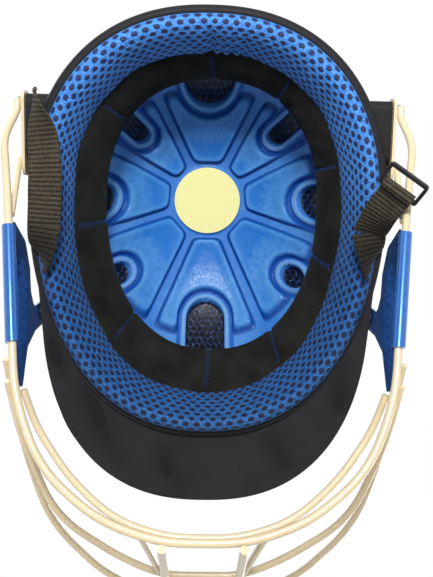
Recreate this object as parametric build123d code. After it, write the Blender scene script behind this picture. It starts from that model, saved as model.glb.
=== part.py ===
from build123d import *
from math import atan2, cos, copysign, degrees, pi, radians, sin, tan
import os

# Cloth-covered cricket helmet with a wire face grille, blue ear guards and a webbing chin strap.
# Frame, in millimetres: origin at the centre of the head opening, in the plane of the rim.
# +Z goes up to the crown, -Y is the front, +X is the wearer's left.

# Outside of the shell: the rim's plan is a full oval, wider behind the ears than at the brow.
half_width = 117.0
rear_reach = 141.5
front_reach = 142.5
widest_y = 15.0
widest_z = 32.0
shell_height = 152.0
plan_fullness = 2.25
side_fullness = 2.3
rim_tuck_share = 0.015
outline_points = 16
dome_turn_shares = (0, 0.24, 0.48, 0.68, 0.84, 0.97)
arc_share = 0.45
halvings = 40

# Thickness of each layer, from the outside in
cover_thickness = 1.0
shell_thickness = 3.6
foam_thickness = 16.4
mesh_thickness = 0.6
crown_base_thickness = 4.0
crown_pad_raise = 4.0
crown_lip_raise = 2.2
cut_overrun = 5.0
seat_gap = 0.3
curve_gap = 0.12
foam_panels = 8

shell_inset = cover_thickness
foam_inset = shell_inset + shell_thickness
mesh_inset = foam_inset + foam_thickness
crown_inset = mesh_inset + mesh_thickness
crown_floor_inset = crown_inset + crown_base_thickness
crown_pad_inset = crown_floor_inset + crown_pad_raise
crown_lip_inset = crown_floor_inset + crown_lip_raise

# Binding bead along the rim
binding_drop = 3.2
binding_rise = 6.0
binding_swell = 1.9

# Padding ring round the opening: its inner face swells in from the lip, by shares of its depth below
# the rim, of its rise above it, and of the way in to its top. The head band lies above it.
ring_drop = 5.0
ring_top_z = 23.5
ring_top_thickness = 4.4
ring_lip_inset = 9.6
ring_drop_shares = [(1.0, 0.0), (0.7, 0.18), (0.2, 0.37)]
ring_rise_shares = [(0.2, 0.63), (0.55, 0.89), (1.0, 1.0)]
ring_outer_inset = foam_inset + 1.0
ring_foot_bevel = 2.0
foam_bottom_z = 1.5
seam_gap = 0.5
band_top_z = 50.0
band_top_half_width = 75.5
band_top_rear = 102.0
band_top_front = 92.0
band_swell = 2.2
band_seam_angles = [0, 27, 62, 107, 151, 180, 219, 270, 320]

# Moulded crown liner: eight raised wedges round a flat centre, each with a window at its outer end
crown_bottom_z = band_top_z + seat_gap
wedge_count = 8
wedge_inner_reach = 30.0
wedge_channel = 6.0
wedge_corner = 4.0
wedge_half_width = 80.0
wedge_rear_reach = 97.0
wedge_front_reach = 88.0
lip_width = 4.6
wedge_window_margin = 8.0
label_radius = 26.5
label_thickness = 0.5
label_boss_height = 3.4

# Windows of the liner: bearing from the front, distance of the round end, half width, run outwards
window_table = [
    (0.0, 95.5, 15.5, 40.0),
    (50.0, 89.0, 8.5, 0.0),
    (91.0, 85.0, 14.0, 0.0),
    (134.0, 74.5, 7.2, 40.0),
    (180.0, 93.0, 19.5, 40.0),
    (226.0, 74.5, 7.2, 40.0),
    (269.0, 85.0, 14.0, 0.0),
    (310.0, 89.0, 8.5, 0.0),
]

# Peak
peak_half_width = 108.5
peak_reach = 189.0
peak_middle_y = -50.0
peak_rear_y = -10.0
peak_fullness = 2.35
peak_thickness = 6.4
peak_cloth = 1.0
peak_bow_radius = 560.0
peak_crown_z = 17.0
peak_droop = 3.0

# Grille: wire diameters, then the routes on the wearer's left, which are mirrored to the right
main_wire = 4.8
bar_wire = 4.2
brace_wire = 4.0
strut_wire = 5.0
weld_gap = 0.06
main_route = [
    (122.66, 81.0, -1.0), (122.66, 73.5, -3.0), (129.0, 57.0, -12.5), (121.9, 20.0, -33.5), (107.0, -88.0, -87.5),
    (90.0, -124.0, -104.0), (58.0, -149.0, -113.0), (24.0, -160.5, -116.0),
]
chin_route = [(96.0, -108.0, -82.0), (76.0, -135.0, -91.0), (50.0, -156.0, -98.0), (20.0, -165.0, -101.0)]
middle_route = [(107.0, -118.0, -72.0), (88.0, -168.0, -69.5), (50.0, -193.0, -70.0), (24.0, -204.0, -71.0)]
top_route = [(110.0, -125.0, -58.0), (97.0, -185.0, -42.0), (62.0, -226.0, -33.0), (25.0, -243.0, -29.5)]
chin_foot_y = -86.0
middle_foot_y = -80.0
top_foot_y = -69.0
chin_foot_side = (-1, 0, 0.55)
bar_foot_side = (1, 0, 0.5)
diagonal_top = (123.0, 44.0, 4.0)
diagonal_foot_y = 11.0
strut_x = 22.0
strut_overhang = 3.0
brace_chin_x = 33.0
brace_middle_x = 26.0

# Side plates, bolts, spacers and nuts
rear_bolt_y = 79.0
rear_bolt_z = 8.0
front_bolt_y = -57.0
front_bolt_z = 7.0
bolt_radius = 2.5
bolt_clearance = 0.35
bolt_depth = 20.0
head_across = 8.0
head_height = 3.4
washer_radius = 5.4
washer_thickness = 1.0
slide_gap = 0.2
plate_inner_x = 118.4
plate_thickness = 1.8
plate_rear_y = 87.0
plate_front_y = 33.0
plate_top_z = 15.0
plate_bottom_z = -2.5
plate_corner = 6.0
pad_rear_y = 85.5
pad_front_y = 44.0
pad_height = 13.0
spacer_radius = 6.5
nut_flange_radius = 8.0
nut_flange_thickness = 1.4
nut_barrel_radius = 3.6
nut_seat_depth = 14.0
nut_barrel_inset = 2.3
tilt_range = 2.0

# Ear guards: a flat blade whose lower edge is rolled round the main wire.
# The outline runs forwards from the rear end of the roll, with heights above the rim.
guard_start_y = 3.0
roll_start_share = 0.157
roll_end_share = 0.75
sleeve_wall = 1.6
sleeve_clearance = 0.05
guard_thickness = 1.8
guard_corner = 4.5
guard_outline = [
    (-2.0, -30.0), (12.0, -10.0), (30.0, -9.0), (44.0, -16.0), (54.5, -14.0), (54.5, 19.0), (68.7, 19.0),
    (69.0, -20.0), (74.0, -45.0), (92.0, -70.0), (90.0, -78.0), (66.0, -73.5),
]

# Chin strap: an anchor tab inside the shell, a folded neck, then flat ribbed webbing
webbing_width = 21.0
webbing_thickness = 1.7
anchor_x = 106.2
anchor_y = -24.0
anchor_turn = 7.5
anchor_top_z = 17.0
anchor_bottom_z = -5.5
rivet_z = 12.0
rivet_radius = 2.0
rivet_head_radius = 5.0
rivet_head_height = 1.6
rivet_foot_radius = 3.5
rivet_foot_height = 0.8
pocket_reach = 5.0
lock_bar_radius = 1.6
lock_clearance = 0.2
lock_frame_width = 27.0
lock_frame_length = 16.0
lock_frame_thickness = 2.6
lock_rail = 2.2
strap_tip_share = 0.65

# Routes of the webbing from each anchor: centre, way it runs, way its width lies, share of its width
neck_left_route = [
    ((106.0, -13.0, -12.0), (-0.1, 0.8, -0.55), (0.7, 0.55, 0.35), 1.0),
    ((104.5, 2.0, -13.0), (-0.06, 1, -0.02), (1, 0.06, 0), 1.0),
]
strap_left_route = [
    ((103.5, 30.0, -12.5), (0, 1, 0.02), (1, 0, 0), 1.0),
    ((105.0, 58.0, -11.0), (0.07, 1, 0), (0.94, 0, 0.34), 1.0),
    ((108.3, 80.0, -14.0), (0.1, 1, -0.05), (0.3, 0, 0.95), 1.0),
    ((108.9, 87.0, -14.5), (0.1, 1, -0.05), (0.3, 0, 0.95), strap_tip_share),
]
neck_right_route = [
    ((-105.6, -13.0, -12.5), (0.1, 0.8, -0.55), (0.7, -0.55, -0.35), 1.0),
    ((-103.7, 1.0, -15.0), (-0.15, 0.95, -0.3), (1, 0.16, 0), 1.0),
]
lock_place = Vector(-113.2, 28.2, -43.5)
lock_run = Vector(-0.34, 0.7, -0.63).normalized()
lock_width_way = Vector(0.66, 0.75, 0)

parts = {}


def oval(width, rear, front, level, fullness=plan_fullness, middle_y=widest_y):
    """Closed smooth outline at one level: a superellipse, with its own reach behind and before."""
    points = []
    for step in range(outline_points):
        turn = 2 * pi * step / outline_points
        across, along = cos(turn), sin(turn)
        reach = rear - middle_y if along > 0 else front + middle_y
        points.append((
            copysign(abs(across) ** (2 / fullness), across) * width,
            middle_y + copysign(abs(along) ** (2 / fullness), along) * reach,
            level,
        ))
    return Wire([Edge.make_spline(points, periodic=True, parameters=list(range(outline_points + 1)))])


def inset_oval(inset, level, share=1.0):
    """The shell's own outline, drawn in by a thickness, by a share, and by the tuck towards the rim."""
    share -= rim_tuck_share * (max(widest_z - level, 0) / widest_z) ** 2
    return oval(
        (half_width - inset) * share,
        widest_y + (rear_reach - inset - widest_y) * share,
        (front_reach - inset + widest_y) * share - widest_y,
        level,
    )


def dome(inset):
    """Everything inside the shell's outer face, drawn in by a thickness, from below the rim to the crown."""
    rise = shell_height - inset - widest_z
    wires = [inset_oval(inset, level) for level in (-2 * cut_overrun, 0)]
    for turn_share in dome_turn_shares:
        climb = sin(pi / 2 * turn_share) ** (2 / side_fullness)
        share = cos(pi / 2 * turn_share) ** (2 / side_fullness)
        wires.append(inset_oval(inset, widest_z + rise * climb, share))
    return Solid.make_loft(wires)


def slab(low, high):
    """A level slice of space, far wider than the helmet."""
    span = 4 * rear_reach
    return Pos(0, 0, (low + high) / 2) * Box(span, span, high - low)


def above(level):
    return slab(level, 2 * shell_height)


def both_sides(shape):
    return [shape, mirror(shape, about=Plane.YZ)]


def bent_path(points):
    """Straight runs joined by the largest tangent arcs that the runs allow."""
    places = [Vector(*point) for point in points]
    radii = []
    for before, here, after in zip(places, places[1:], places[2:]):
        turn = radians((here - before).get_angle(after - here))
        shorter = min((here - before).length, (after - here).length)
        radii.append(arc_share * shorter / tan(turn / 2))
    return FilletPolyline(*places, radius=radii)


def wire_along(path, diameter):
    """Round wire along a path."""
    section = Plane(origin=path @ 0, z_dir=path % 0) * Circle(diameter / 2)
    return sweep(section, path=path)


def mirrored_run(points):
    """A symmetric wire route: the left half as given, then its mirror image back to the right."""
    return points + [(-x, y, z) for x, y, z in reversed(points)]


def share_where(path, value, low=0.0, high=0.5):
    """Share of the path at which the value of a place, falling along its left half, reaches zero."""
    for halving in range(halvings):
        middle = (low + high) / 2
        if value(path @ middle) > 0:
            low = middle
        else:
            high = middle
    return low


def beside(path, share, towards, run, here_wire, other_wire):
    """Centre for the end of another wire that lies against this one, given the way it runs off."""
    along = path % share
    away = Vector(*towards)
    away = (away - along * away.dot(along)).normalized()
    off = Vector(*run).normalized()
    reach = here_wire / 2 + other_wire / 2 * (1 - away.dot(off) ** 2) ** 0.5 + weld_gap
    return path @ share + away * reach


def webbing(stations):
    """Flat strap lofted through stations: centre, way it runs, way its width lies, share of its width."""
    faces = []
    for centre, run, across, share in stations:
        station = Plane(origin=centre, x_dir=across, z_dir=run)
        faces.append(station * Rectangle(webbing_width * share, webbing_thickness))
    return loft(faces)


# Shell layers
outside = dome(0)
shell_face = dome(shell_inset)
foam_face = dome(foam_inset)
mesh_face = dome(mesh_inset)
crown_face = dome(crown_inset)

# Frames of the fixings on the left, on the outer face of what each one holds, looking out
main_path = bent_path(mirrored_run(main_route))
guard_run = Vector(*main_route[4]) - Vector(*main_route[3])
guard_turn = degrees(atan2(guard_run.X, guard_run.Y)) + 180
guard_out = Vector(1, 0, 0).rotate(Axis.Z, -guard_turn)
guard_place = Vector(*main_route[3])
guard_place = guard_place + guard_run * ((guard_start_y - guard_place.Y) / guard_run.Y)
front_bolt_place = guard_place + guard_run * ((front_bolt_y - guard_place.Y) / guard_run.Y)
front_bolt_place = Vector(front_bolt_place.X, front_bolt_y, front_bolt_z) + guard_out * (guard_thickness / 2)
rear_frame = Plane(
    origin=(plate_inner_x + plate_thickness, rear_bolt_y, rear_bolt_z), x_dir=(0, 1, 0), z_dir=(1, 0, 0)
)
front_frame = Plane(origin=front_bolt_place, x_dir=(0, 0, 1), z_dir=guard_out)
anchor_out = Vector(1, 0, 0).rotate(Axis.Z, -anchor_turn)
rivet_frame = Plane(origin=(anchor_x, anchor_y, rivet_z), z_dir=anchor_out)


def peg(frame, low, high, radius):
    """Round peg along a fixing's axis, between two heights over its frame."""
    return frame * Pos(0, 0, (low + high) / 2) * Cylinder(radius, high - low)


def face_rise(frame):
    """Height over a fixing's frame at which its axis leaves the outside of the shell."""
    reach = frame.z_dir * (half_width / 2)
    return (Edge.make_line(frame.origin - reach, frame.origin + reach) & outside).length - half_width / 2


fixing_frames = [rear_frame, front_frame]
shell_depths = [-face_rise(frame) for frame in fixing_frames]
rivet_rise = face_rise(rivet_frame)
bolt_bores = []
nut_pockets = []
for frame, depth in zip(fixing_frames, shell_depths):
    seat = -depth - nut_seat_depth
    bolt_bores += both_sides(peg(frame, seat, 0, nut_barrel_radius + bolt_clearance))
    nut_pockets += both_sides(peg(frame, seat, -depth, nut_flange_radius + bolt_clearance))
rivet_bores = both_sides(peg(rivet_frame, 0, 2 * pocket_reach, rivet_radius + sleeve_clearance))

parts["cloth_cover"] = (outside & above(0)) - shell_face - bolt_bores - rivet_bores
parts["outer_shell"] = (shell_face & above(0)) - foam_face - bolt_bores - rivet_bores

# Foam liner, bevelled along its lower inner edge where the padding ring lies
bevel_foot_inset = ring_outer_inset
ring_top_inset = mesh_inset
bevel = Solid.make_loft([
    inset_oval(bevel_foot_inset, -cut_overrun),
    inset_oval(bevel_foot_inset, foam_bottom_z),
    inset_oval(ring_top_inset, ring_top_z),
], ruled=True)
tab_height = anchor_top_z - anchor_bottom_z
tab_middle_z = (anchor_top_z + anchor_bottom_z) / 2
tab_frame = Plane(origin=(anchor_x, anchor_y, tab_middle_z), z_dir=anchor_out, x_dir=(0, 0, 1))
pocket_low = -webbing_thickness / 2 - seat_gap
tab_pocket = tab_frame * Pos(0, 0, (pocket_low + pocket_reach) / 2) * Box(
    tab_height + 2 * seat_gap, webbing_width + 2 * seat_gap, pocket_reach - pocket_low
)
foot_low = -webbing_thickness / 2 - rivet_foot_height
tab_pocket += peg(rivet_frame, foot_low - seat_gap, 0, rivet_foot_radius + seat_gap)
foam = (foam_face & above(foam_bottom_z)) - mesh_face - bevel - nut_pockets - both_sides(tab_pocket)

# Its joints: one level ring, and upright joints that run between the wedges of the crown liner
foam_joints = [slab(crown_bottom_z - seat_gap, crown_bottom_z)]
for number in range(foam_panels // 2):
    joint_turn = Rot(0, 0, (number + 1 / 2) * 360 / foam_panels)
    foam_joints.append(Pos(0, widest_y) * joint_turn * Box(seat_gap, 4 * rear_reach, 4 * shell_height))
parts["impact_liner"] = foam - foam_joints


def bead_space(grow):
    """Space that the binding bead takes round the rim, grown by a clearance."""
    stretch = 1 + grow / binding_drop
    return Solid.make_loft([
        inset_oval(binding_swell - grow, -binding_drop * stretch),
        inset_oval(-binding_swell / 2 - grow, -binding_drop / 2),
        inset_oval(-binding_swell - grow, binding_rise / 4),
        inset_oval(-binding_swell - grow, binding_rise * 3 / 4),
        inset_oval(-binding_swell / 2 - grow, binding_rise * stretch),
    ])


# Binding bead round the rim, and the room that shell and bead take from what seats on them
bead_hole = Solid.make_loft([
    inset_oval(foam_inset, -2 * cut_overrun), inset_oval(foam_inset, 0)
], ruled=True)
parts["rim_binding"] = bead_space(0) - (outside & above(0)) - bead_hole - bolt_bores
shell_room = [dome(-curve_gap), bead_space(curve_gap)]

# Padding ring
ring_top_full = ring_top_inset + ring_top_thickness


def ring_wire(level, share):
    """Outline of the ring's inner face, a share of the way in from its lip to its top."""
    return inset_oval(ring_lip_inset + (ring_top_full - ring_lip_inset) * share, level)


ring_inside = Solid.make_loft(
    [ring_wire(-ring_drop * down, share) for down, share in ring_drop_shares]
    + [ring_wire(ring_top_z * up, share) for up, share in ring_rise_shares]
)
ring_outside = Solid.make_loft([
    inset_oval(ring_outer_inset + ring_foot_bevel, -ring_drop), inset_oval(ring_outer_inset, -ring_drop / 2),
    inset_oval(ring_outer_inset, foam_bottom_z), inset_oval(ring_top_inset, ring_top_z),
], ruled=True)
back_seam = Pos(0, rear_reach, 0) * Box(seam_gap, rear_reach, 4 * ring_top_z)
parts["padding_ring"] = ring_outside - ring_inside - back_seam - nut_pockets - both_sides(tab_pocket)

# Head band in sewn panels
band_low_inset = ring_top_full
band_low = inset_oval(band_low_inset, ring_top_z + seat_gap)
band_mid_z = (ring_top_z + band_top_z) / 2
band_mid = oval(
    (half_width - band_low_inset + band_top_half_width) / 2 - band_swell,
    (rear_reach - band_low_inset + band_top_rear) / 2 - band_swell,
    (front_reach - band_low_inset + band_top_front) / 2 - band_swell,
    band_mid_z,
)
band_top = oval(band_top_half_width, band_top_rear, band_top_front, band_top_z)
band_inside = Solid.make_loft([band_low, band_mid, band_top])
band = (mesh_face & slab(ring_top_z + seat_gap, band_top_z)) - band_inside
seams = [
    Rot(0, 0, angle) * Pos(0, rear_reach / 2, band_mid_z) * Box(seam_gap, rear_reach, 2 * band_top_z)
    for angle in band_seam_angles
]
parts["head_band"] = band - seams


def window(bearing, reach, half, run, grow=0.0):
    """One window's plan: a round end, and where it runs outwards a straight-sided slot."""
    shape = Pos(0, -reach) * Circle(half + grow)
    if run:
        shape += Pos(0, -reach - run / 2) * Rectangle(2 * (half + grow), run)
    return Pos(0, widest_y) * Rot(0, 0, bearing) * shape


# Mesh cloth behind the windows, then the moulded crown liner
parts["crown_mesh"] = (dome(mesh_inset + sleeve_clearance) & above(crown_bottom_z)) - crown_face

floor_face = dome(crown_floor_inset)
lip_face = dome(crown_lip_inset)
pad_face = dome(crown_pad_inset)
wedge_half_angle = pi / wedge_count
inner_half = wedge_inner_reach * tan(wedge_half_angle) - wedge_channel / 2 / cos(wedge_half_angle)
outer_reach = 2 * wedge_rear_reach
outer_half = outer_reach * tan(wedge_half_angle) - wedge_channel / 2 / cos(wedge_half_angle)
wedge = make_face(Polyline(
    (-inner_half, -wedge_inner_reach), (inner_half, -wedge_inner_reach),
    (outer_half, -outer_reach), (-outer_half, -outer_reach), close=True,
))
wedge = fillet(wedge.vertices().sort_by(Axis.Y)[-2:], wedge_corner)
wedge_limit = make_face(oval(wedge_half_width, wedge_rear_reach, wedge_front_reach, 0))
window_plan = Sketch() + [window(*row) for row in window_table]
lip_plan = Sketch() + [window(*row, grow=lip_width) for row in window_table]
margin_plan = Sketch() + [window(*row, grow=wedge_window_margin) for row in window_table]
wedge_plan = Sketch() + [
    Pos(0, widest_y) * Rot(0, 0, 360 * number / wedge_count) * wedge for number in range(wedge_count)
]
wedge_plan = (wedge_plan & wedge_limit) - margin_plan
boss_plan = Pos(0, widest_y) * Circle(label_radius + seat_gap)
floor_plan = Rectangle(4 * half_width, 4 * rear_reach) - wedge_plan - lip_plan - boss_plan
tall = 2 * shell_height
boss_z = shell_height - crown_floor_inset - label_boss_height
liner = (crown_face & above(crown_bottom_z)) - pad_face
liner -= extrude(floor_plan, tall) & floor_face
liner -= extrude(lip_plan, tall) & lip_face
liner -= extrude(window_plan, tall)
liner -= extrude(boss_plan, boss_z)
parts["crown_liner"] = liner
parts["crown_label"] = Pos(0, widest_y, boss_z - label_thickness / 2) * Cylinder(label_radius, label_thickness)

# Peak: a stiff board and its cloth skin, bowed from side to side and leaning down to the front
peak_plan = make_face(oval(peak_half_width, peak_rear_y, peak_reach, 0, peak_fullness, peak_middle_y))
core_plan = make_face(oval(
    peak_half_width - peak_cloth, peak_rear_y, peak_reach - peak_cloth, 0, peak_fullness, peak_middle_y
))
bow_length = 4 * peak_reach


def bowed(inset):
    """Space between the peak's two bowed faces, drawn in by a thickness."""
    outer = Cylinder(peak_bow_radius - inset, bow_length)
    inner = Cylinder(peak_bow_radius - peak_thickness + inset, 2 * bow_length)
    return Rot(peak_droop, 0, 0) * Pos(0, 0, peak_crown_z - peak_bow_radius) * Rot(90, 0, 0) * (outer - inner)


tall_plan = Pos(0, 0, -shell_height) * extrude(peak_plan, 2 * shell_height)
tall_core = Pos(0, 0, -shell_height) * extrude(core_plan, 2 * shell_height)
spacer_reach = 2 * shell_depths[1]
spacer_rooms = both_sides(peg(front_frame, -spacer_reach, spacer_reach, spacer_radius + seat_gap))
core_rooms = both_sides(peg(front_frame, -spacer_reach, spacer_reach, spacer_radius + seat_gap + peak_cloth))
peak_core = (tall_core & bowed(peak_cloth)) - shell_room - core_rooms
peak_core = peak_core.solids().sort_by(SortBy.VOLUME)[-1]
peak_whole = (tall_plan & bowed(0)) - shell_room - spacer_rooms
peak_whole = peak_whole.solids().sort_by(SortBy.VOLUME)[-1]
parts["peak_board"] = peak_core
parts["peak_cover"] = peak_whole - peak_core

# Grille: chin wire, three bars, two struts, braces and side stays
def joined_path(foot_y, route, towards):
    """Bar that starts against the main wire, runs round the front and ends on the other side."""
    share = share_where(main_path, lambda place: place.Y - foot_y)
    run = Vector(*route[0]) - main_path @ share
    foot = beside(main_path, share, towards, run, main_wire, bar_wire)
    return bent_path(mirrored_run([(foot.X, foot.Y, foot.Z)] + route))


upper_path = joined_path(chin_foot_y, chin_route, chin_foot_side)
middle_path = joined_path(middle_foot_y, middle_route, bar_foot_side)
top_path = joined_path(top_foot_y, top_route, bar_foot_side)
parts["grille_main_wire"] = wire_along(main_path, main_wire)
parts["grille_upper_chin_wire"] = wire_along(upper_path, bar_wire)
parts["grille_middle_bar"] = wire_along(middle_path, bar_wire)
parts["grille_top_bar"] = wire_along(top_path, bar_wire)

strut_places = []
for path, wire in ((main_path, main_wire), (middle_path, bar_wire), (top_path, bar_wire)):
    share = share_where(path, lambda place: place.X - strut_x)
    strut_places.append((path @ share, wire))
strut_low = strut_places[0][0]
strut_run = strut_places[2][0] - strut_low
strut_length = strut_run.length
strut_run = strut_run.normalized()
strut_out = Vector(1, 0, 0).cross(strut_run).normalized()
strut_rise = max((place - strut_low).dot(strut_out) + wire / 2 for place, wire in strut_places)
strut_low = strut_low + strut_out * (strut_rise + strut_wire / 2 + weld_gap)
strut = Line(strut_low - strut_run * strut_overhang, strut_low + strut_run * (strut_length + strut_overhang))
parts["grille_struts"] = both_sides(wire_along(strut, strut_wire))

chin_share = share_where(main_path, lambda place: place.X - brace_chin_x)
middle_share = share_where(middle_path, lambda place: place.X - brace_middle_x)
brace_run = middle_path @ middle_share - main_path @ chin_share
brace = Line(
    beside(main_path, chin_share, brace_run, brace_run, main_wire, brace_wire),
    beside(middle_path, middle_share, -brace_run, -brace_run, bar_wire, brace_wire),
)
parts["grille_braces"] = both_sides(wire_along(brace, brace_wire))

stay_share = share_where(main_path, lambda place: place.Y - diagonal_foot_y)
stay_run = Vector(*diagonal_top) - main_path @ stay_share
stay = Line(beside(main_path, stay_share, stay_run, stay_run, main_wire, bar_wire), Vector(*diagonal_top))
parts["grille_side_stays"] = both_sides(wire_along(stay, bar_wire))

# Side plates, pivoting on the rear bolts
plate_frame = Plane(
    origin=(plate_inner_x, (plate_rear_y + plate_front_y) / 2, (plate_top_z + plate_bottom_z) / 2),
    x_dir=(0, 1, 0), z_dir=(1, 0, 0),
)
plate = plate_frame * extrude(
    RectangleRounded(plate_rear_y - plate_front_y, plate_top_z - plate_bottom_z, plate_corner), plate_thickness
)
plate -= peg(rear_frame, -2 * plate_thickness, plate_thickness, bolt_radius + bolt_clearance)
parts["grille_side_plates"] = both_sides(plate)

# Bolts, washers, T-nuts and spacers, all held by the shell
bolts, washers, nuts, spacers = [], [], [], []
for frame, depth, held in zip(fixing_frames, shell_depths, (plate_thickness, guard_thickness)):
    head_foot = slide_gap + washer_thickness
    head = frame * Pos(0, 0, head_foot) * extrude(
        RegularPolygon(head_across / 2, 6, major_radius=False), head_height
    )
    bolts.append(head + peg(frame, -depth - nut_seat_depth + nut_flange_thickness, head_foot, bolt_radius))
    washer = peg(frame, slide_gap, head_foot, washer_radius)
    washers.append(washer - peg(frame, 0, head_height, bolt_radius + bolt_clearance))
    seat = -depth - nut_seat_depth + seat_gap
    nut = peg(frame, seat, seat + nut_flange_thickness, nut_flange_radius)
    nut += peg(frame, seat, -depth - nut_barrel_inset, nut_barrel_radius)
    nuts.append(nut - peg(frame, seat - seat_gap, 0, bolt_radius))
    foot = -held - slide_gap
    if frame is rear_frame:
        pad = Pos((pad_rear_y + pad_front_y) / 2 - rear_bolt_y, 0) * RectangleRounded(
            pad_rear_y - pad_front_y, pad_height, plate_corner
        )
        spacer = frame * Pos(0, 0, foot - 2 * depth) * extrude(pad, 2 * depth)
    else:
        spacer = peg(frame, foot - depth, foot, spacer_radius)
    hole = peg(frame, -2 * depth, 0, bolt_radius + bolt_clearance)
    spacers.append(spacer - shell_room - hole)
parts["fixing_bolts"] = both_sides(Compound(children=bolts))
parts["fixing_washers"] = both_sides(Compound(children=washers))
parts["fixing_nuts"] = both_sides(Compound(children=nuts))
parts["plate_spacers"] = both_sides(spacers[0])
parts["guard_spacers"] = both_sides(spacers[1])

# Ear guards
guard_along = Vector(guard_run.X, guard_run.Y, 0).normalized()
guard_plane = Plane(origin=(guard_place.X, guard_place.Y, 0), x_dir=guard_along, z_dir=-guard_out)
blade_plan = make_face(Polyline((0, guard_place.Z), *guard_outline, close=True))
hard_corners = [Vector(0, guard_place.Z), Vector(*guard_outline[-1])]
soft_corners = [
    vertex for vertex in blade_plan.vertices()
    if min((Vector(vertex.X, vertex.Y) - corner).length for corner in hard_corners) > guard_thickness
]
blade_plan = fillet(soft_corners, guard_corner)
blade = guard_plane * extrude(blade_plan, guard_thickness / 2, both=True)
roll_start = Vector(*main_route[3]) + guard_run * roll_start_share
roll_end = Vector(*main_route[3]) + guard_run * roll_end_share
bore_start = Vector(*main_route[3])
bore_end = Vector(*main_route[4])


def rod(start, end, radius):
    middle = (start + end) * 0.5
    return Plane(origin=middle, z_dir=end - start) * Cylinder(radius, (end - start).length)


guard = blade + rod(roll_start, roll_end, main_wire / 2 + sleeve_clearance + sleeve_wall)
guard -= rod(bore_start, bore_end, main_wire / 2 + sleeve_clearance)
slot_travel = 2 * (rear_bolt_y - front_bolt_y) * sin(radians(tilt_range))
slot_width = 2 * (bolt_radius + bolt_clearance)
guard -= front_frame * extrude(SlotOverall(slot_travel + slot_width, slot_width), slot_width, both=True)
parts["ear_guard_left"] = guard
parts["ear_guard_right"] = mirror(guard, about=Plane.YZ)

# Chin strap anchors and rivets
tab = tab_frame * Box(tab_height, webbing_width, webbing_thickness)
tab -= peg(rivet_frame, -webbing_thickness, webbing_thickness, rivet_radius)
parts["strap_anchor_tabs"] = both_sides(tab)
rivet = peg(rivet_frame, foot_low, rivet_rise, rivet_radius)
rivet += peg(rivet_frame, foot_low, -webbing_thickness / 2, rivet_foot_radius)
rivet_head = peg(rivet_frame, rivet_rise - rivet_head_height, rivet_rise + rivet_head_height, rivet_head_radius)
rivet += rivet_head - shell_room
parts["strap_rivets"] = both_sides(rivet)

# Folded necks, then the straps
neck_start = Vector(anchor_x, anchor_y, anchor_bottom_z - seat_gap)
neck_across = Vector(sin(radians(anchor_turn)), cos(radians(anchor_turn)), 0)
neck_top = (neck_start, (0, 0, -1), neck_across, 1)
parts["strap_neck_left"] = webbing([neck_top] + neck_left_route)
parts["strap_left"] = webbing([neck_left_route[-1]] + strap_left_route)

# Right strap ends in a loop round the bar of its ladder lock
lock_across = (lock_width_way - lock_run * lock_width_way.dot(lock_run)).normalized()
lock_frame = Plane(origin=lock_place, x_dir=lock_across, z_dir=lock_across.cross(lock_run))
bar_frame = Plane(origin=lock_place, z_dir=lock_across)
loop_outer = lock_bar_radius + lock_clearance + webbing_thickness
right_neck_top = (Vector(-neck_start.X, neck_start.Y, neck_start.Z), (0, 0, -1),
                  Vector(neck_across.X, -neck_across.Y, 0), 1)
parts["strap_neck_right"] = webbing([right_neck_top] + neck_right_route)
strap = webbing([
    neck_right_route[-1],
    (lock_place - lock_run * (lock_frame_length + loop_outer), lock_run, lock_across, 1),
    (lock_place - lock_run * (loop_outer - webbing_thickness / 2), lock_run, lock_across, 1),
])
strap += bar_frame * Cylinder(loop_outer, webbing_width)
strap -= bar_frame * Cylinder(lock_bar_radius + lock_clearance, 2 * webbing_width)
parts["strap_right"] = strap

# Ladder lock: an end bar inside the loop, side rails and a far rail
lock_start = -lock_bar_radius
lock_middle = lock_start + lock_frame_length / 2
lock = lock_frame * Pos(0, lock_middle) * extrude(
    RectangleRounded(lock_frame_width, lock_frame_length, lock_rail), lock_frame_thickness / 2, both=True
)
lock -= lock_frame * Pos(0, lock_middle) * Box(
    lock_frame_width - 2 * lock_rail, lock_frame_length - 2 * lock_rail, 2 * lock_frame_thickness
)
lock -= lock_frame * Box(lock_frame_width - 2 * lock_rail, 4 * lock_rail, 2 * lock_frame_thickness)
lock += bar_frame * Cylinder(lock_bar_radius, lock_frame_width - lock_rail)
parts["ladder_lock"] = lock


def solids_of(shape):
    pieces = shape if isinstance(shape, list) else [shape]
    return [solid for piece in pieces for solid in piece.solids()]


os.makedirs("parts", exist_ok=True)
for name, shape in parts.items():
    solids = solids_of(shape)
    print(name, len(solids), all(solid.is_valid for solid in solids))
    export_step(Compound(children=solids), f"parts/{name}.step")
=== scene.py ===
from math import cos, pi, radians, sin

import bpy
import numpy as np
from mathutils import Matrix, Vector


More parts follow.
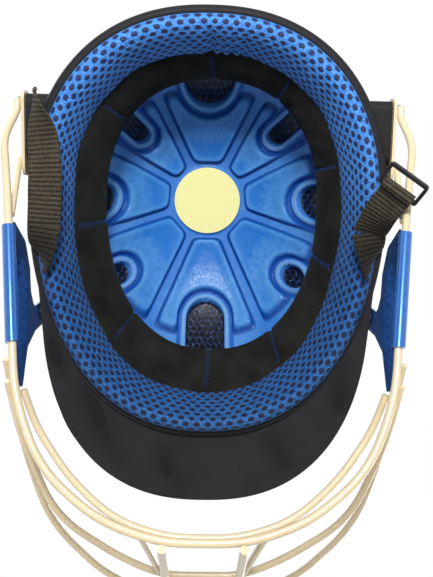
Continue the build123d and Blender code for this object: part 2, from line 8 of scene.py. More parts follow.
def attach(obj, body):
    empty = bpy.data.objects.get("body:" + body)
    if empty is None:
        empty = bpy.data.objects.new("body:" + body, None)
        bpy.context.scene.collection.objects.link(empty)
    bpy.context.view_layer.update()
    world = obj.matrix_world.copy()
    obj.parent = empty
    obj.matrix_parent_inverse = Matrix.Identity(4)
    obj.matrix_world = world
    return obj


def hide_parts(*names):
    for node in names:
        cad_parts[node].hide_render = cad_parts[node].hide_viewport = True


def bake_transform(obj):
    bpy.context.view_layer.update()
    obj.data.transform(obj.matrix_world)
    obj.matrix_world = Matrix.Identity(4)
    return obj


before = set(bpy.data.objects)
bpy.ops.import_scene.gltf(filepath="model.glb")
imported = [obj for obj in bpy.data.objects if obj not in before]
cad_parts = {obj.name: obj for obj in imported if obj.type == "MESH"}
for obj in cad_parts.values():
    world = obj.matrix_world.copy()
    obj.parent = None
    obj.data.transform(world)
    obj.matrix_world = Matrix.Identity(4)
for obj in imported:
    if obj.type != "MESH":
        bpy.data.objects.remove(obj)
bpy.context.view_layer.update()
print("frame loaded:", len(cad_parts), "nodes")
scene = bpy.context.scene
scene.view_settings.view_transform = "Standard"


# The shell's own measures in mm, as the solids have them
shell = {
    "halfWidth": 117.0, "rear": 141.5, "front": 142.5, "middleY": 15.0, "wideZ": 32.0, "height": 152.0,
    "planFullness": 2.25, "sideFullness": 2.3, "tuck": 0.015,
}


def power(value, exponent):
    # signed power: keeps the sign and raises the size
    return np.sign(value) * np.abs(value) ** exponent


def smooth(low, high, value):
    # smoothstep: 0 at low, 1 at high, with a soft ramp between; low may be the greater
    share = np.clip((value - low) / (high - low), 0, 1)
    return share * share * (3 - 2 * share)


def softMin(first, second, blend):
    # the lesser of two distances, with a rounded corner where they meet
    mix = np.clip(0.5 + 0.5 * (second - first) / blend, 0, 1)
    return second * (1 - mix) + first * mix - blend * mix * (1 - mix)


def oval(turn, width, rear, front, fullness=shell["planFullness"], middleY=shell["middleY"]):
    # superellipse in plan: cos and sin of the turn, both to 2 / fullness, times the reach on that side
    across, along = np.cos(turn), np.sin(turn)
    reach = np.where(along > 0, rear - middleY, front + middleY)
    return power(across, 2 / fullness) * width, middleY + power(along, 2 / fullness) * reach


def shellOval(turn, level, inset, share=1.0):
    # the shell's outline at a level, drawn in by a thickness, a share and the tuck to the rim
    share = share - shell["tuck"] * (np.maximum(shell["wideZ"] - level, 0) / shell["wideZ"]) ** 2
    middle = shell["middleY"]
    x, y = oval(turn, (shell["halfWidth"] - inset) * share,
                middle + (shell["rear"] - inset - middle) * share,
                (shell["front"] - inset + middle) * share - middle)
    return x, y


def domePoint(turn, climb, inset):
    # superellipsoid: the outline shrinks as cos and rises as sin of the climb angle, both to 2 / fullness
    rise = shell["height"] - inset - shell["wideZ"]
    level = shell["wideZ"] + rise * power(np.sin(climb), 2 / shell["sideFullness"])
    share = power(np.cos(climb), 2 / shell["sideFullness"])
    x, y = shellOval(turn, level, inset, share)
    return np.stack(np.broadcast_arrays(x, y, level), -1)


def buildMesh(name, grid, wrapU=False, wrapV=False, flip=False, uv=None, caps=False, attributes=None):
    # quads between neighbouring points of a grid in mm; a wrapped side joins its last row to its first
    countU, countV = grid.shape[:2]
    stepsU = countU if wrapU else countU - 1
    stepsV = countV if wrapV else countV - 1
    i, j = np.meshgrid(np.arange(stepsU), np.arange(stepsV), indexing="ij")
    corners = [(i, j), (i + 1, j), (i + 1, j + 1), (i, j + 1)]
    if flip:
        corners = corners[::-1]
    faces = np.stack([(a % countU) * countV + b % countV for a, b in corners], -1).reshape(-1, 4)
    faceList = faces.tolist()
    if caps:
        first = list(range(countV))
        last = [(countU - 1) * countV + n for n in first]
        faceList += [first if flip else first[::-1], last[::-1] if flip else last]
    mesh = bpy.data.meshes.new(name)
    mesh.from_pydata((grid.reshape(-1, 3) / 1000).tolist(), [], faceList)
    if uv is not None:
        layer = mesh.uv_layers.new(name="UVMap")
        flat = np.stack([uv[a, b] for a, b in corners], -2).reshape(-1, 2)
        values = np.zeros((len(mesh.loops), 2))
        values[:len(flat)] = flat
        layer.data.foreach_set("uv", values.ravel())
    for key, values in (attributes or {}).items():
        layer = mesh.attributes.new(key, "FLOAT", "POINT")
        layer.data.foreach_set("value", values.astype(np.float32).ravel())
    mesh.polygons.foreach_set("use_smooth", [True] * len(mesh.polygons))
    mesh.update()
    piece = bpy.data.objects.new(name, mesh)
    scene.collection.objects.link(piece)
    return piece


def runLengths(points, axis):
    # distance walked along one side of a grid, from 0
    steps = np.linalg.norm(np.diff(points, axis=axis), axis=-1)
    return np.concatenate([np.zeros_like(np.take(steps, [0], axis)), np.cumsum(steps, axis)], axis)


def cubic(a, b, c, d, t):
    # Catmull-Rom span from b at t = 0 to c at t = 1, which leans on its neighbours a and d
    bend, twist = 2 * a - 5 * b + 4 * c - d, 3 * b - a - 3 * c + d
    return 0.5 * (2 * b + (c - a) * t + bend * t ** 2 + twist * t ** 3)


def curvePoints(places, count):
    # open curve of cubic spans through the places, with both ends carried straight on
    places = np.asarray(places, float)
    padded = np.concatenate([[2 * places[0] - places[1]], places, [2 * places[-1] - places[-2]]])
    at = np.linspace(0, len(places) - 1, count)
    span = np.minimum(at.astype(int), len(places) - 2)
    return cubic(*(padded[span + n] for n in range(4)), (at - span)[:, None])


def closedCurve(places, count):
    # closed curve of cubic spans through the places
    places = np.asarray(places, float)
    at = np.linspace(0, len(places), count, endpoint=False)
    span = at.astype(int)
    return cubic(*(places[(span + n - 1) % len(places)] for n in range(4)), (at - span)[:, None])


def unit(vectors):
    # each vector divided by its own length
    return vectors / np.linalg.norm(vectors, axis=-1, keepdims=True)


def rgb(color):
    # a colour as a screen shows it, 0 to 255, turned to linear light
    share = np.array(color, float) / 255
    linear = np.where(share <= 0.04045, share / 12.92, ((share + 0.055) / 1.055) ** 2.4)
    return (*linear.tolist(), 1.0)


class Sock:
    # one output of a node; each operator on it adds a Math node and gives that node's output
    def __init__(self, tree, link):
        self.tree, self.link = tree, link

    def math(self, operation, *others):
        # this value and the others fill the Math node's sockets in order
        return addNode(self.tree, "Math", {"operation": operation}, dict(enumerate((self, *others))))

    def __add__(self, other):
        return self.math("ADD", other)

    def __sub__(self, other):
        return self.math("SUBTRACT", other)

    def __rsub__(self, other):
        return self * -1.0 + other

    def __mul__(self, other):
        return self.math("MULTIPLY", other)

    def __truediv__(self, other):
        return self.math("DIVIDE", other)

    __radd__, __rmul__ = __add__, __mul__

    def sine(self):
        # sine of it, in radians
        return self.math("SINE")

    def size(self):
        # it without its sign
        return self.math("ABSOLUTE")

    def part(self):
        # what it has over the whole number below
        return self.math("FRACT")

    def root(self):
        # its square root
        return self.math("SQRT")

    def lesser(self, other):
        # the lesser of the two
        return self.math("MINIMUM", other)

    def greater(self, other):
        # the greater of the two
        return self.math("MAXIMUM", other)


def plug(tree, socket, value):
    # a node's output is linked to the socket, and a plain value is set on it
    if isinstance(value, Sock):
        tree.links.new(value.link, socket)
    else:
        socket.default_value = value


def addNode(tree, kind, settings=None, values=None, out=0):
    # its settings come first, then its sockets by name or number; the result is one of its outputs
    node = tree.nodes.new("ShaderNode" + kind)
    for key, value in (settings or {}).items():
        setattr(node, key, value)
    for key, value in (values or {}).items():
        plug(tree, node.inputs[key], value)
    return Sock(tree, node.outputs[out])


class Finish:
    # a material, its shader, and short ways to add nodes to it
    sockets = {
        "metal": "Metallic", "coat": "Coat Weight", "coatRough": "Coat Roughness",
        "sheen": "Sheen Weight", "sheenRough": "Sheen Roughness", "specular": "Specular IOR Level",
    }

    def __init__(self, name, color, roughness, **constants):
        self.material = bpy.data.materials.new(name)
        self.material.use_nodes = True
        self.material.diffuse_color = rgb(color)
        self.tree = self.material.node_tree
        self.shader = self.tree.nodes["Principled BSDF"]
        self.set("Base Color", rgb(color))
        self.set("Roughness", roughness)
        for key, value in constants.items():
            self.set(self.sockets[key], value)

    def set(self, name, value):
        # a value or a link on one of the shader's sockets
        plug(self.tree, self.shader.inputs[name], value)

    def node(self, kind, settings=None, values=None, out=0):
        # a node in this material
        return addNode(self.tree, kind, settings, values, out)

    def coords(self):
        # the piece's own place in metres
        return self.node("TexCoord", out="Object")

    def split(self, vector):
        # the three numbers of a vector
        first = self.node("SeparateXYZ", values={0: vector})
        return [Sock(self.tree, output) for output in first.link.node.outputs]

    def xyz(self):
        # the three numbers of the piece's own place
        return self.split(self.coords())

    def uv(self):
        # the two numbers of the piece's own UV map, in mm along and across it
        return self.split(self.node("UVMap", {"uv_map": "UVMap"}))[:2]

    def attribute(self, name):
        # a number kept at each point of the mesh
        return self.node("Attribute", {"attribute_name": name}, out="Fac")

    def noise(self, scale, detail, vector=None):
        # smooth noise about 0.5, with this many cells to a metre
        values = {"Vector": vector or self.coords(), "Scale": scale, "Detail": detail}
        return self.node("TexNoise", None, values)

    def ramp(self, value, low, high):
        # smoothstep of a value between two limits, as a share
        limits = {"Value": value, "From Min": low, "From Max": high}
        return self.node("MapRange", {"interpolation_type": "SMOOTHSTEP"}, limits)

    def mix(self, share, first, second):
        # the first at share 0 and the second at 1; each is a colour or a link
        first, second = (side if isinstance(side, Sock) else rgb(side) for side in (first, second))
        return self.node("Mix", {"data_type": "RGBA"}, {0: share, 6: first, 7: second}, out=2)

    def bump(self, height, distance, strength):
        # height is a share of the distance, in metres
        values = {"Height": height, "Distance": distance, "Strength": strength}
        self.set("Normal", self.node("Bump", None, values))


def crossedRows(u, v, pitchU, pitchV, stretchU=1.0, stretchV=1.0):
    # distance from the nearest of two crossed sets of rows, the second half a pitch on both ways
    def nearest(shift):
        # distance from the nearest centre of one set
        du = ((u / pitchU + shift).part() - 0.5) * pitchU
        dv = ((v / pitchV + shift).part() - 0.5) * pitchV
        return (du * du * stretchU + dv * dv * stretchV).root()

    return nearest(0.0).lesser(nearest(0.5))


def dress(piece, finish):
    # one material over the whole piece
    piece.data.materials.clear()
    piece.data.materials.append(finish.material)


def dressNodes(finish, *names):
    # the same on solids that keep their own mesh, through their material slots
    for name in names:
        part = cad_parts[name]
        for place in part.material_slots:
            place.material = finish.material
        if not part.material_slots:
            part.data.materials.append(finish.material)


# Camera: fitted to the rim, the crown and the label; it looks up into the opening
cameraPlan = {
    "place": (3.0, 35.5, -500.0), "topPixel": (204.0, 175.0), "roll": 1.0, "focal": 760.0, "size": (433, 577),
    "filmHeight": 36.0, "clip": (0.01, 20.0),
}


def placeCamera():
    # world +Z falls on one pixel of the photograph; the roll turns world +Y about it
    plan = cameraPlan
    width, height = plan["size"]
    focal, roll = plan["focal"], radians(plan["roll"])
    px, py = plan["topPixel"]
    up = unit(np.array([(px - width / 2) / focal, (py - height / 2) / focal, 1.0]))
    back = np.array([sin(roll), -cos(roll), 0.0])
    back = unit(back - up * back.dot(up))
    right, down, ahead = np.stack([np.cross(back, up), back, up], 1)
    matrix = np.eye(4)
    matrix[:3, 0], matrix[:3, 1], matrix[:3, 2] = right, -down, -ahead
    matrix[:3, 3] = np.array(plan["place"]) / 1000
    camera = bpy.data.objects.new("camera", bpy.data.cameras.new("camera"))
    scene.collection.objects.link(camera)
    camera.matrix_world = Matrix(matrix.tolist())
    camera.data.sensor_fit = "VERTICAL"
    camera.data.sensor_height = plan["filmHeight"]
    camera.data.lens = focal / height * plan["filmHeight"]
    camera.data.clip_start, camera.data.clip_end = plan["clip"]
    scene.camera = camera


placeCamera()


# Stage: a pale floor that only shows from above, a white world, and soft lamps; places are in metres
stagePlan = {
    "floorZ": -0.135, "floorSize": 6.0, "floorColor": (236, 236, 234), "floorRough": 0.9, "fade": (0.45, 1.5),
    "world": 0.1, "seen": 1.0,
}
lampPlan = {
    "underKey": {"place": (0.03, 0.58, -0.85), "aim": (0.0, 0.03, 0.05), "size": 0.18, "watts": 11.2,
                 "color": (1.0, 0.985, 0.96)},
    "underFill": {"place": (-0.5, -0.4, -0.8), "aim": (0.0, 0.0, 0.0), "size": 0.8, "watts": 0.4,
                  "color": (0.95, 0.97, 1.0)},
    "overKey": {"place": (-0.9, -1.0, 1.5), "aim": (0.0, 0.0, 0.05), "size": 1.0, "watts": 26.0,
                "color": (1.0, 0.98, 0.95)},
    "overFill": {"place": (1.3, 0.9, 1.2), "aim": (0.0, 0.0, 0.05), "size": 1.2, "watts": 16.0,
                 "color": (0.95, 0.97, 1.0)},
}


def makeFloor():
    # a flat square: clear from below, and from above its colour fades to white with the distance
    half, z = stagePlan["floorSize"] / 2, stagePlan["floorZ"]
    mesh = bpy.data.meshes.new("floor")
    corners = [(-half, -half, z), (half, -half, z), (half, half, z), (-half, half, z)]
    mesh.from_pydata(corners, [], [(0, 1, 2, 3)])
    floor = bpy.data.objects.new("floor", mesh)
    scene.collection.objects.link(floor)
    finish = Finish("paleFloor", stagePlan["floorColor"], stagePlan["floorRough"])
    matt, clear = Sock(finish.tree, finish.shader.outputs[0]), finish.node("BsdfTransparent")
    below = finish.node("NewGeometry", out="Backfacing")
    near = finish.node("MixShader", None, {0: below, 1: matt, 2: clear})
    reach = finish.node("VectorMath", {"operation": "LENGTH"}, {"Vector": finish.coords()}, out="Value")
    far = finish.ramp(reach, *stagePlan["fade"])
    faded = finish.node("MixShader", None, {0: far, 1: near, 2: finish.node("Emission")})
    plug(finish.tree, finish.tree.nodes["Material Output"].inputs[0], faded)
    dress(floor, finish)
    floor.visible_shadow = False


def makeWorld():
    # white at a low strength as light, and at full strength where the camera, gloss or glass sees it
    world = bpy.data.worlds.new("studio")
    scene.world = world
    world.use_nodes = True
    tree = world.node_tree
    white = (1.0, 1.0, 1.0, 1.0)
    light = tree.nodes["Background"]
    light.inputs["Color"].default_value, light.inputs["Strength"].default_value = white, stagePlan["world"]
    pale = addNode(tree, "Background", None, {"Color": white, "Strength": stagePlan["seen"]})
    camera, glass, gloss = (addNode(tree, "LightPath", out=f"Is {ray} Ray")
                            for ray in ("Camera", "Transmission", "Glossy"))
    seen = camera.greater(glass).greater(gloss)
    both = addNode(tree, "MixShader", None, {0: seen, 1: Sock(tree, light.outputs[0]), 2: pale})
    plug(tree, tree.nodes["World Output"].inputs[0], both)


def makeLamps():
    # square lamps, each turned from its place towards its aim
    for name, plan in lampPlan.items():
        lamp = bpy.data.lights.new(name, "AREA")
        lamp.size, lamp.energy, lamp.color = plan["size"], plan["watts"], plan["color"]
        holder = bpy.data.objects.new(name, lamp)
        scene.collection.objects.link(holder)
        holder.location = plan["place"]
        aim = Vector(plan["aim"]) - Vector(plan["place"])
        holder.rotation_euler = aim.to_track_quat("-Z", "Y").to_euler()


makeFloor()
makeWorld()
makeLamps()
print("camera and stage ready")


# Finishes: colours as a screen shows them, grain in cells to a metre, depth in metres
clothPlan = {
    "cover": (38, 38, 42), "peak": (40, 40, 43), "creaseShare": 0.5, "creaseShade": 0.5,
    "pitch": 0.0011, "slant": 0.6, "lift": 0.0001, "mottle": 35.0,
}
plainPlan = {
    "piping": {"color": (36, 36, 40), "rough": 0.55, "grain": 900, "depth": 0.00006, "specular": 0.15},
    "shellPlastic": {"color": (34, 34, 36), "rough": 0.45, "grain": 500, "depth": 0.00005},
    "foamBlack": {"color": (26, 26, 28), "rough": 0.85, "grain": 700, "depth": 0.0002, "specular": 0.2},
    "labelFilm": {"color": (253, 249, 172), "rough": 0.35, "grain": 200, "depth": 0.00003, "specular": 0.3},
    "zincSteel": {"color": (190, 186, 178), "rough": 0.32, "grain": 1500, "depth": 0.00004, "metal": 1.0},
    "darkRivet": {"color": (60, 60, 62), "rough": 0.35, "grain": 900, "depth": 0.00004, "metal": 1.0},
    "blackRubber": {"color": (24, 24, 25), "rough": 0.65, "grain": 800, "depth": 0.00008, "specular": 0.3},
    "blackPlastic": {"color": (20, 20, 21), "rough": 0.35, "grain": 600, "depth": 0.00004, "specular": 0.4},
}
creamPlan = {"color": (218, 198, 160), "tones": ((214, 194, 156), (236, 220, 186)), "toneScale": 14.0}
lacquerPlan = {"color": (46, 106, 184), "tones": ((44, 102, 180), (54, 120, 204)), "flakeScale": 1400.0}


def clothFinish(name, color, creases=None):
    # plain weave: two crossing sine waves over a slow, faint mottle, with painted shade in the creases
    plan = clothPlan
    finish = Finish(name, color, 0.9, sheen=0.04, sheenRough=0.5, specular=0.12)
    x, y, z = finish.xyz()
    turns = 2 * pi / plan["pitch"]
    warp, weft = ((x + z * plan["slant"]) * turns).sine(), ((y - z * plan["slant"]) * turns).sine()
    weave = warp * weft * 0.5 + 0.5
    mottle = finish.noise(plan["mottle"], 2.0)
    dark, light = tuple(c * 0.88 for c in color), tuple(c * 1.14 + 2 for c in color)
    cloth = finish.mix(mottle * 0.6 + weave * 0.4, dark, light)
    if creases:
        # painted shade: the crease share darkens the cloth along the peak's creases
        shade = tuple(c * plan["creaseShade"] for c in color)
        cloth = finish.mix(finish.attribute(creases) * plan["creaseShare"], cloth, shade)
    finish.set("Base Color", cloth)
    finish.bump(weave, plan["lift"], 0.5)
    return finish


def plainFinish(name, color, rough, grain, depth, **constants):
    # one colour with a fine grain of noise in its surface
    finish = Finish(name, color, rough, **constants)
    finish.bump(finish.noise(grain, 2.0), depth, 0.5)
    return finish


def creamFinish():
    # powder coat: two creams mixed by a slow noise, with a clear gloss over them
    finish = Finish("creamCoat", creamPlan["color"], 0.3, specular=0.4, coat=0.45, coatRough=0.1)
    finish.set("Base Color", finish.mix(finish.noise(creamPlan["toneScale"], 2.0), *creamPlan["tones"]))
    return finish


def lacquerFinish():
    # metallic lacquer: flakes of a lighter blue where a fine noise is high, under a clear coat
    finish = Finish("blueLacquer", lacquerPlan["color"], 0.26, metal=0.4, coat=1.0, coatRough=0.06)
    flake = finish.ramp(finish.noise(lacquerPlan["flakeScale"], 1.0), 0.35, 0.65)
    finish.set("Base Color", finish.mix(flake, *lacquerPlan["tones"]))
    return finish


coverCloth = clothFinish("coverCloth", clothPlan["cover"])
peakCloth = clothFinish("peakCloth", clothPlan["peak"], creases="fold")
plain = {name: plainFinish(name, **plan) for name, plan in plainPlan.items()}
dressNodes(plain["shellPlastic"], "outer_shell")
dressNodes(plain["foamBlack"], "impact_liner", "peak_board")
dressNodes(plain["labelFilm"], "crown_label")
dressNodes(plain["zincSteel"], "fixing_bolts", "fixing_washers", "fixing_nuts")
dressNodes(plain["darkRivet"], "strap_rivets")
dressNodes(plain["blackRubber"], "plate_spacers", "guard_spacers")
dressNodes(plain["blackPlastic"], "ladder_lock")
dressNodes(creamFinish(), "grille_main_wire", "grille_upper_chin_wire", "grille_middle_bar", "grille_top_bar",
           "grille_struts", "grille_braces", "grille_side_stays", "grille_side_plates")
dressNodes(lacquerFinish(), "ear_guard_left", "ear_guard_right")
print("plain pieces dressed")


# Spacer mesh ring: rounded section carried round the rim, gathered beside the seam at the back
ringPlan = {
    "section": [(3.0, 1.0), (3.1, -3.2), (6.0, -5.9), (10.6, -5.6), (15.2, -1.8), (19.0, 4.0), (22.4, 11.0),
                (25.0, 18.5), (25.6, 23.6), (23.4, 24.6), (21.3, 23.2), (13.0, 11.6)],
    "around": 900, "across": 72, "meanReach": 128.0, "frontDraw": 0.6, "frontDrop": 3.0,
    "seamTurn": pi / 2 + 0.006, "seamDepth": 2.2, "seamWidth": 3.0,
    "gather": 0.9, "gatherFrom": 4.0, "gatherFade": 26.0, "gatherPitch": 8.5,
    "holePitch": 6.4, "rowPitch": 4.1, "holeSize": 1.75, "holeStretch": (0.92, 1.25), "measuredAt": 45,
    # each thread and hole colour is a (back, front) pair whose darker front one is painted shade, set in over
    # the front range along -y in metres; the glint colour is painted glints
    "front": (-0.07, 0.04), "color": (44, 112, 200),
    "darkThread": ((42, 108, 196), (14, 64, 124)), "lightThread": ((80, 156, 238), (32, 104, 176)),
    "hole": ((34, 40, 88), (14, 20, 56)), "paintedGlint": (140, 196, 245),
}


def ringGrid():
    # inset and level of each section point; near the seam the inner side sinks and ripples, and in front the
    # outer side draws back from the piping and its foot drops
    plan = ringPlan
    section = closedCurve(plan["section"], plan["across"])
    turn = np.linspace(0, 2 * pi, plan["around"], endpoint=False)[:, None]
    inset, level = section[None, :, 0], section[None, :, 1]
    away = (turn - plan["seamTurn"]) * plan["meanReach"]
    inner = smooth(8, 20, inset)
    pinch = plan["seamDepth"] * np.exp(-(away / plan["seamWidth"]) ** 2)
    gather = plan["gather"] * np.exp(-np.abs(away - plan["gatherFrom"]) / plan["gatherFade"])
    gather = gather * np.sin(away * 2 * pi / plan["gatherPitch"]) * (away > 0)
    slow = 0.35 * np.sin(turn * 9 + 1.0) + 0.25 * np.sin(turn * 17)
    front = smooth(0.15, -0.75, np.sin(turn)) * (1 - smooth(9, 17, inset))
    inset = inset + inner * (slow - pinch + gather) + plan["frontDraw"] * front
    level = level - plan["frontDrop"] * front * smooth(1.5, -3.0, level)
    x, y = shellOval(turn, level, inset)
    return np.stack(np.broadcast_arrays(x, y, level + 0 * turn), -1)


def ringFinish():
    # strands lie where two crossed rows of holes are far, with edges made ragged by noise; threads and holes
    # go from their back colour to a darker front colour along the helmet, which is painted shade, and light
    # specks of noise on the threads are painted glints
    plan = ringPlan
    finish = Finish("blueSpacerMesh", plan["color"], 0.55, sheen=0.05, specular=0.35)
    u, v = finish.uv()
    near = crossedRows(u, v, plan["holePitch"], plan["rowPitch"] * 2, *plan["holeStretch"])
    ragged = near + finish.noise(260.0, 2.0) - 0.5
    strand = finish.ramp(ragged, plan["holeSize"] * 0.72, plan["holeSize"] * 1.18)
    fibre = finish.ramp(finish.noise(900.0, 2.0), 0.3, 0.7)
    # painted shade: threads and holes darken towards the front of the helmet
    front = finish.ramp(finish.xyz()[1] * -1.0, *plan["front"])
    dark, light, hole = (finish.mix(front, *plan[tone]) for tone in ("darkThread", "lightThread", "hole"))
    # painted glints: light specks of noise on the threads
    paintedGlint = finish.ramp(finish.noise(1500.0, 1.0), 0.62, 0.75) * 0.4
    thread = finish.mix(paintedGlint, finish.mix(fibre, dark, light), plan["paintedGlint"])
    finish.set("Base Color", finish.mix(strand, hole, thread))
    finish.bump(strand * 0.8 + fibre * 0.2, 0.0014, 0.9)
    return finish


def makeRing():
    # the grid with its UV map: mm walked round it, fitted to whole holes, and mm walked across its section
    plan = ringPlan
    grid = ringGrid()
    closed = np.concatenate([grid, grid[:1]], 0)
    closed = np.concatenate([closed, closed[:, :1]], 1)
    around = runLengths(closed[:, plan["measuredAt"], None], 0)
    around = around * (round(around[-1, 0] / plan["holePitch"]) * plan["holePitch"] / around[-1, 0])
    across = runLengths(closed, 1).mean(0, keepdims=True)
    uv = np.stack(np.broadcast_arrays(around, across), -1)
    ring = buildMesh("paddingRingMesh", grid, wrapU=True, wrapV=True, uv=uv)
    dress(ring, ringFinish())
    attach(ring, "helmet")
    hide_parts("padding_ring")


makeRing()
print("padding ring made")


# Head band: velour over foam, sewn in panels with blue zig-zag seams; seams are plan bearings in degrees
bandPlan = {
    "lowZ": 22.6, "topZ": 50.4, "lowInset": 25.2, "top": (75.5, 102.0, 92.0), "topAside": -3.2, "swell": 3.4,
    "around": 720, "across": 44, "backInset": 21.6, "backTopZ": 50.0, "backTopShare": 0.995,
    "heelZ": (24.0, 23.9), "rollShares": (0.15, 0.4, 0.75), "rollLift": 1.6, "rollReach": 0.22,
    "seams": (0, 27, 62, 107, 151, 180, 219, 270, 320), "seamDepth": 1.5, "seamWidth": 1.9,
    "middle": (82.0, 110.0, 105.0), "meanReach": 92.0,
    "stitches": 12, "stitchRun": (0.1, 0.94), "stitchWide": (2.1, 0.9), "stitchLift": 0.12,
    "threadRadius": 0.14, "threadColor": (34, 62, 112),
    "color": (28, 28, 26), "tones": ((22, 23, 21), (40, 40, 37)),
}


def bandSeamTurns():
    # outline turns at which the plan bearing from the middle meets each seam
    turn = np.linspace(-pi / 2, 3 * pi / 2, 4001)
    x, y = oval(turn, *bandPlan["middle"])
    bearing = np.unwrap(np.arctan2(y, x))
    wanted = np.radians(90 + np.array(bandPlan["seams"], float))
    wanted = np.where(wanted > bearing[-1], wanted - 2 * pi, wanted)
    return np.interp(wanted, bearing, turn)


seamTurns = bandSeamTurns()


def bandPoint(turn, rise, lift=0.0):
    # rise 0 at the ring and 1 at the upper edge; the face swells inwards between and sinks at the seams
    plan = bandPlan
    low = np.stack(shellOval(turn, plan["lowZ"], plan["lowInset"]), -1)
    top = np.stack(oval(turn, *plan["top"]), -1) + np.array([plan["topAside"], 0.0])
    near = np.abs((turn[..., None] - seamTurns + pi) % (2 * pi) - pi).min(-1) * plan["meanReach"]
    sink = plan["seamDepth"] * np.exp(-(near / plan["seamWidth"]) ** 2) * smooth(-0.05, 0.15, rise)
    puff = smooth(0, 22, near) * 1.3
    ripple = 0.3 * np.sin(turn * 23 + rise * 3) + 0.24 * np.sin(turn * 41 + rise * 7)
    swell = (plan["swell"] + puff + ripple) * np.sin(pi * np.clip(rise, 0, 1)) ** 0.8 - sink + lift
    flat = low * (1 - rise[..., None]) + top * rise[..., None]
    inward = unit(np.stack([-flat[..., 0], 5 - flat[..., 1]], -1))
    flat = flat + inward * swell[..., None]
    level = plan["lowZ"] + (plan["topZ"] - plan["lowZ"]) * rise - sink * 0.3
    return np.concatenate([flat, level[..., None]], -1)


def velourFinish():
    # short pile: two near blacks mixed by a slow noise and a little of the fine one that raises the pile
    velour = Finish("velour", bandPlan["color"], 0.95, sheen=0.04, sheenRough=0.4, specular=0.08)
    pile = velour.noise(1100.0, 3.0)
    nap = velour.noise(45.0, 4.0)
    velour.set("Base Color", velour.mix(velour.ramp(nap + pile * 0.4, 0.4, 0.95), *bandPlan["tones"]))
    velour.bump(pile, 0.0006, 0.7)
    return velour


def makeBand():
    # the swollen face, a roll that rises as a half sine over its upper edge, and the back down to the heel
    plan = bandPlan
    turn = np.linspace(0, 2 * pi, plan["around"], endpoint=False)[:, None]
    rise = np.linspace(0, 1, plan["across"])[None, :]
    turn, rise = np.broadcast_arrays(turn, rise)
    face = bandPoint(turn, rise)
    backTop = shellOval(turn[:, :1], plan["backTopZ"], plan["backInset"], plan["backTopShare"])
    backTop = np.stack(np.broadcast_arrays(*backTop, plan["backTopZ"]), -1)
    heel = shellOval(turn[:, :1], plan["heelZ"][0], plan["backInset"])
    heel = np.stack(np.broadcast_arrays(*heel, plan["heelZ"][1]), -1)
    roll = []
    for share in plan["rollShares"]:
        lift = plan["rollLift"] * np.sin(pi * min(share * 1.6, 1.0))
        across = share * plan["rollReach"]
        roll.append(face[:, -1:] * (1 - across) + backTop * across + np.array([0, 0, lift]))
    grid = np.concatenate([face] + roll + [backTop, heel], 1)
    band = buildMesh("headBandVelour", grid, wrapU=True, wrapV=True, flip=True)
    dress(band, velourFinish())
    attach(band, "helmet")
    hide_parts("head_band")


def tube(path, radius, sides):
    # round section carried along a path; the frame turns as little as the path allows
    ahead = unit(np.gradient(path, axis=0))
    side = np.zeros_like(path)
    side[0] = unit(np.cross(ahead[0], [0.31, 0.52, 0.79]))
    for n in range(1, len(path)):
        side[n] = unit(side[n - 1] - ahead[n] * side[n - 1].dot(ahead[n]))
    other = np.cross(ahead, side)
    angle = np.linspace(0, 2 * pi, sides, endpoint=False)
    ring = np.cos(angle)[None, :, None] * side[:, None] + np.sin(angle)[None, :, None] * other[:, None]
    return path[:, None] + radius * ring


def makeStitches():
    # each seam's thread goes from side to side of the seam's turn as it climbs, on the face of the band
    plan = bandPlan
    thread = Finish("blueThread", plan["threadColor"], 0.6, specular=0.2)
    thread.bump(thread.noise(2500.0, 1.0), 0.0001, 0.5)
    steps = np.arange(plan["stitches"] * 2 + 1)
    rise = np.interp(steps, (0, steps[-1]), plan["stitchRun"])
    aside = np.where(steps % 2, 1, -1) * np.interp(rise, (0, 1), plan["stitchWide"]) / plan["meanReach"]
    fine = np.linspace(0, len(steps) - 1, len(steps) * 4)
    for number, seamTurn in enumerate(seamTurns):
        corners = bandPoint(seamTurn + aside, rise, lift=plan["stitchLift"])
        path = np.stack([np.interp(fine, steps, corners[:, n]) for n in range(3)], -1)
        stitch = buildMesh(f"bandStitch.{number}", tube(path, plan["threadRadius"], 6), wrapV=True, caps=True)
        dress(stitch, thread)
        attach(stitch, "helmet")


makeBand()
makeStitches()
print("head band made")


# Moulded crown liner: wedges, channels, ribbed window lips and the boss under the label; each window is its
# plan bearing, its reach from the middle, its half width and its straight run outwards
linerPlan = {
    "around": 640, "rows": 150, "bottomZ": 49.5, "depth": 25.6, "reliefStep": 4.0, "topGap": 0.6,
    "channels": (24.7, 72.4, 119.0, 153.5), "channel": 6.4,
    "innerReach": 31.0, "padHeight": 4.7, "padSag": 0.5, "limit": (84.0, 100.0, 92.0), "rounding": 4.0,
    "lipWide": 4.4, "lipHeight": 2.4, "margin": 6.6, "netDepth": 3.7,
    "bossRadius": 27.6, "bossZ": 123.0, "ribPitch": 1.5, "netPitch": 0.0046,
    "windows": [(0.0, 95.5, 15.5, 40.0), (50.0, 89.0, 8.5, 0.0), (91.0, 85.0, 14.0, 0.0),
                (134.0, 74.5, 7.2, 40.0), (180.0, 93.0, 19.5, 40.0), (226.0, 74.5, 7.2, 40.0),
                (269.0, 85.0, 14.0, 0.0), (310.0, 89.0, 8.5, 0.0)],
}
# the channel floor colour is painted light; the crest, outer crest and lip colours are painted highlights;
# the wall and lip-wall colours are painted shade lines; the net glint colour is painted glints
linerColors = {
    "all": (30, 116, 206), "floor": (62, 130, 214), "outerFloor": (16, 108, 204), "wedge": (34, 120, 208),
    "fan": (104, 168, 228), "paintedCrestHighlight": (110, 178, 236), "paintedOuterCrestHighlight": (190, 222, 248), "paintedWallShade": (4, 66, 152),
    "paintedLipGrooveShade": (6, 74, 166), "lip": (134, 190, 238),
    "hole": (7, 7, 16), "net": (26, 38, 80), "netPaintedGlint": (78, 116, 176),
}


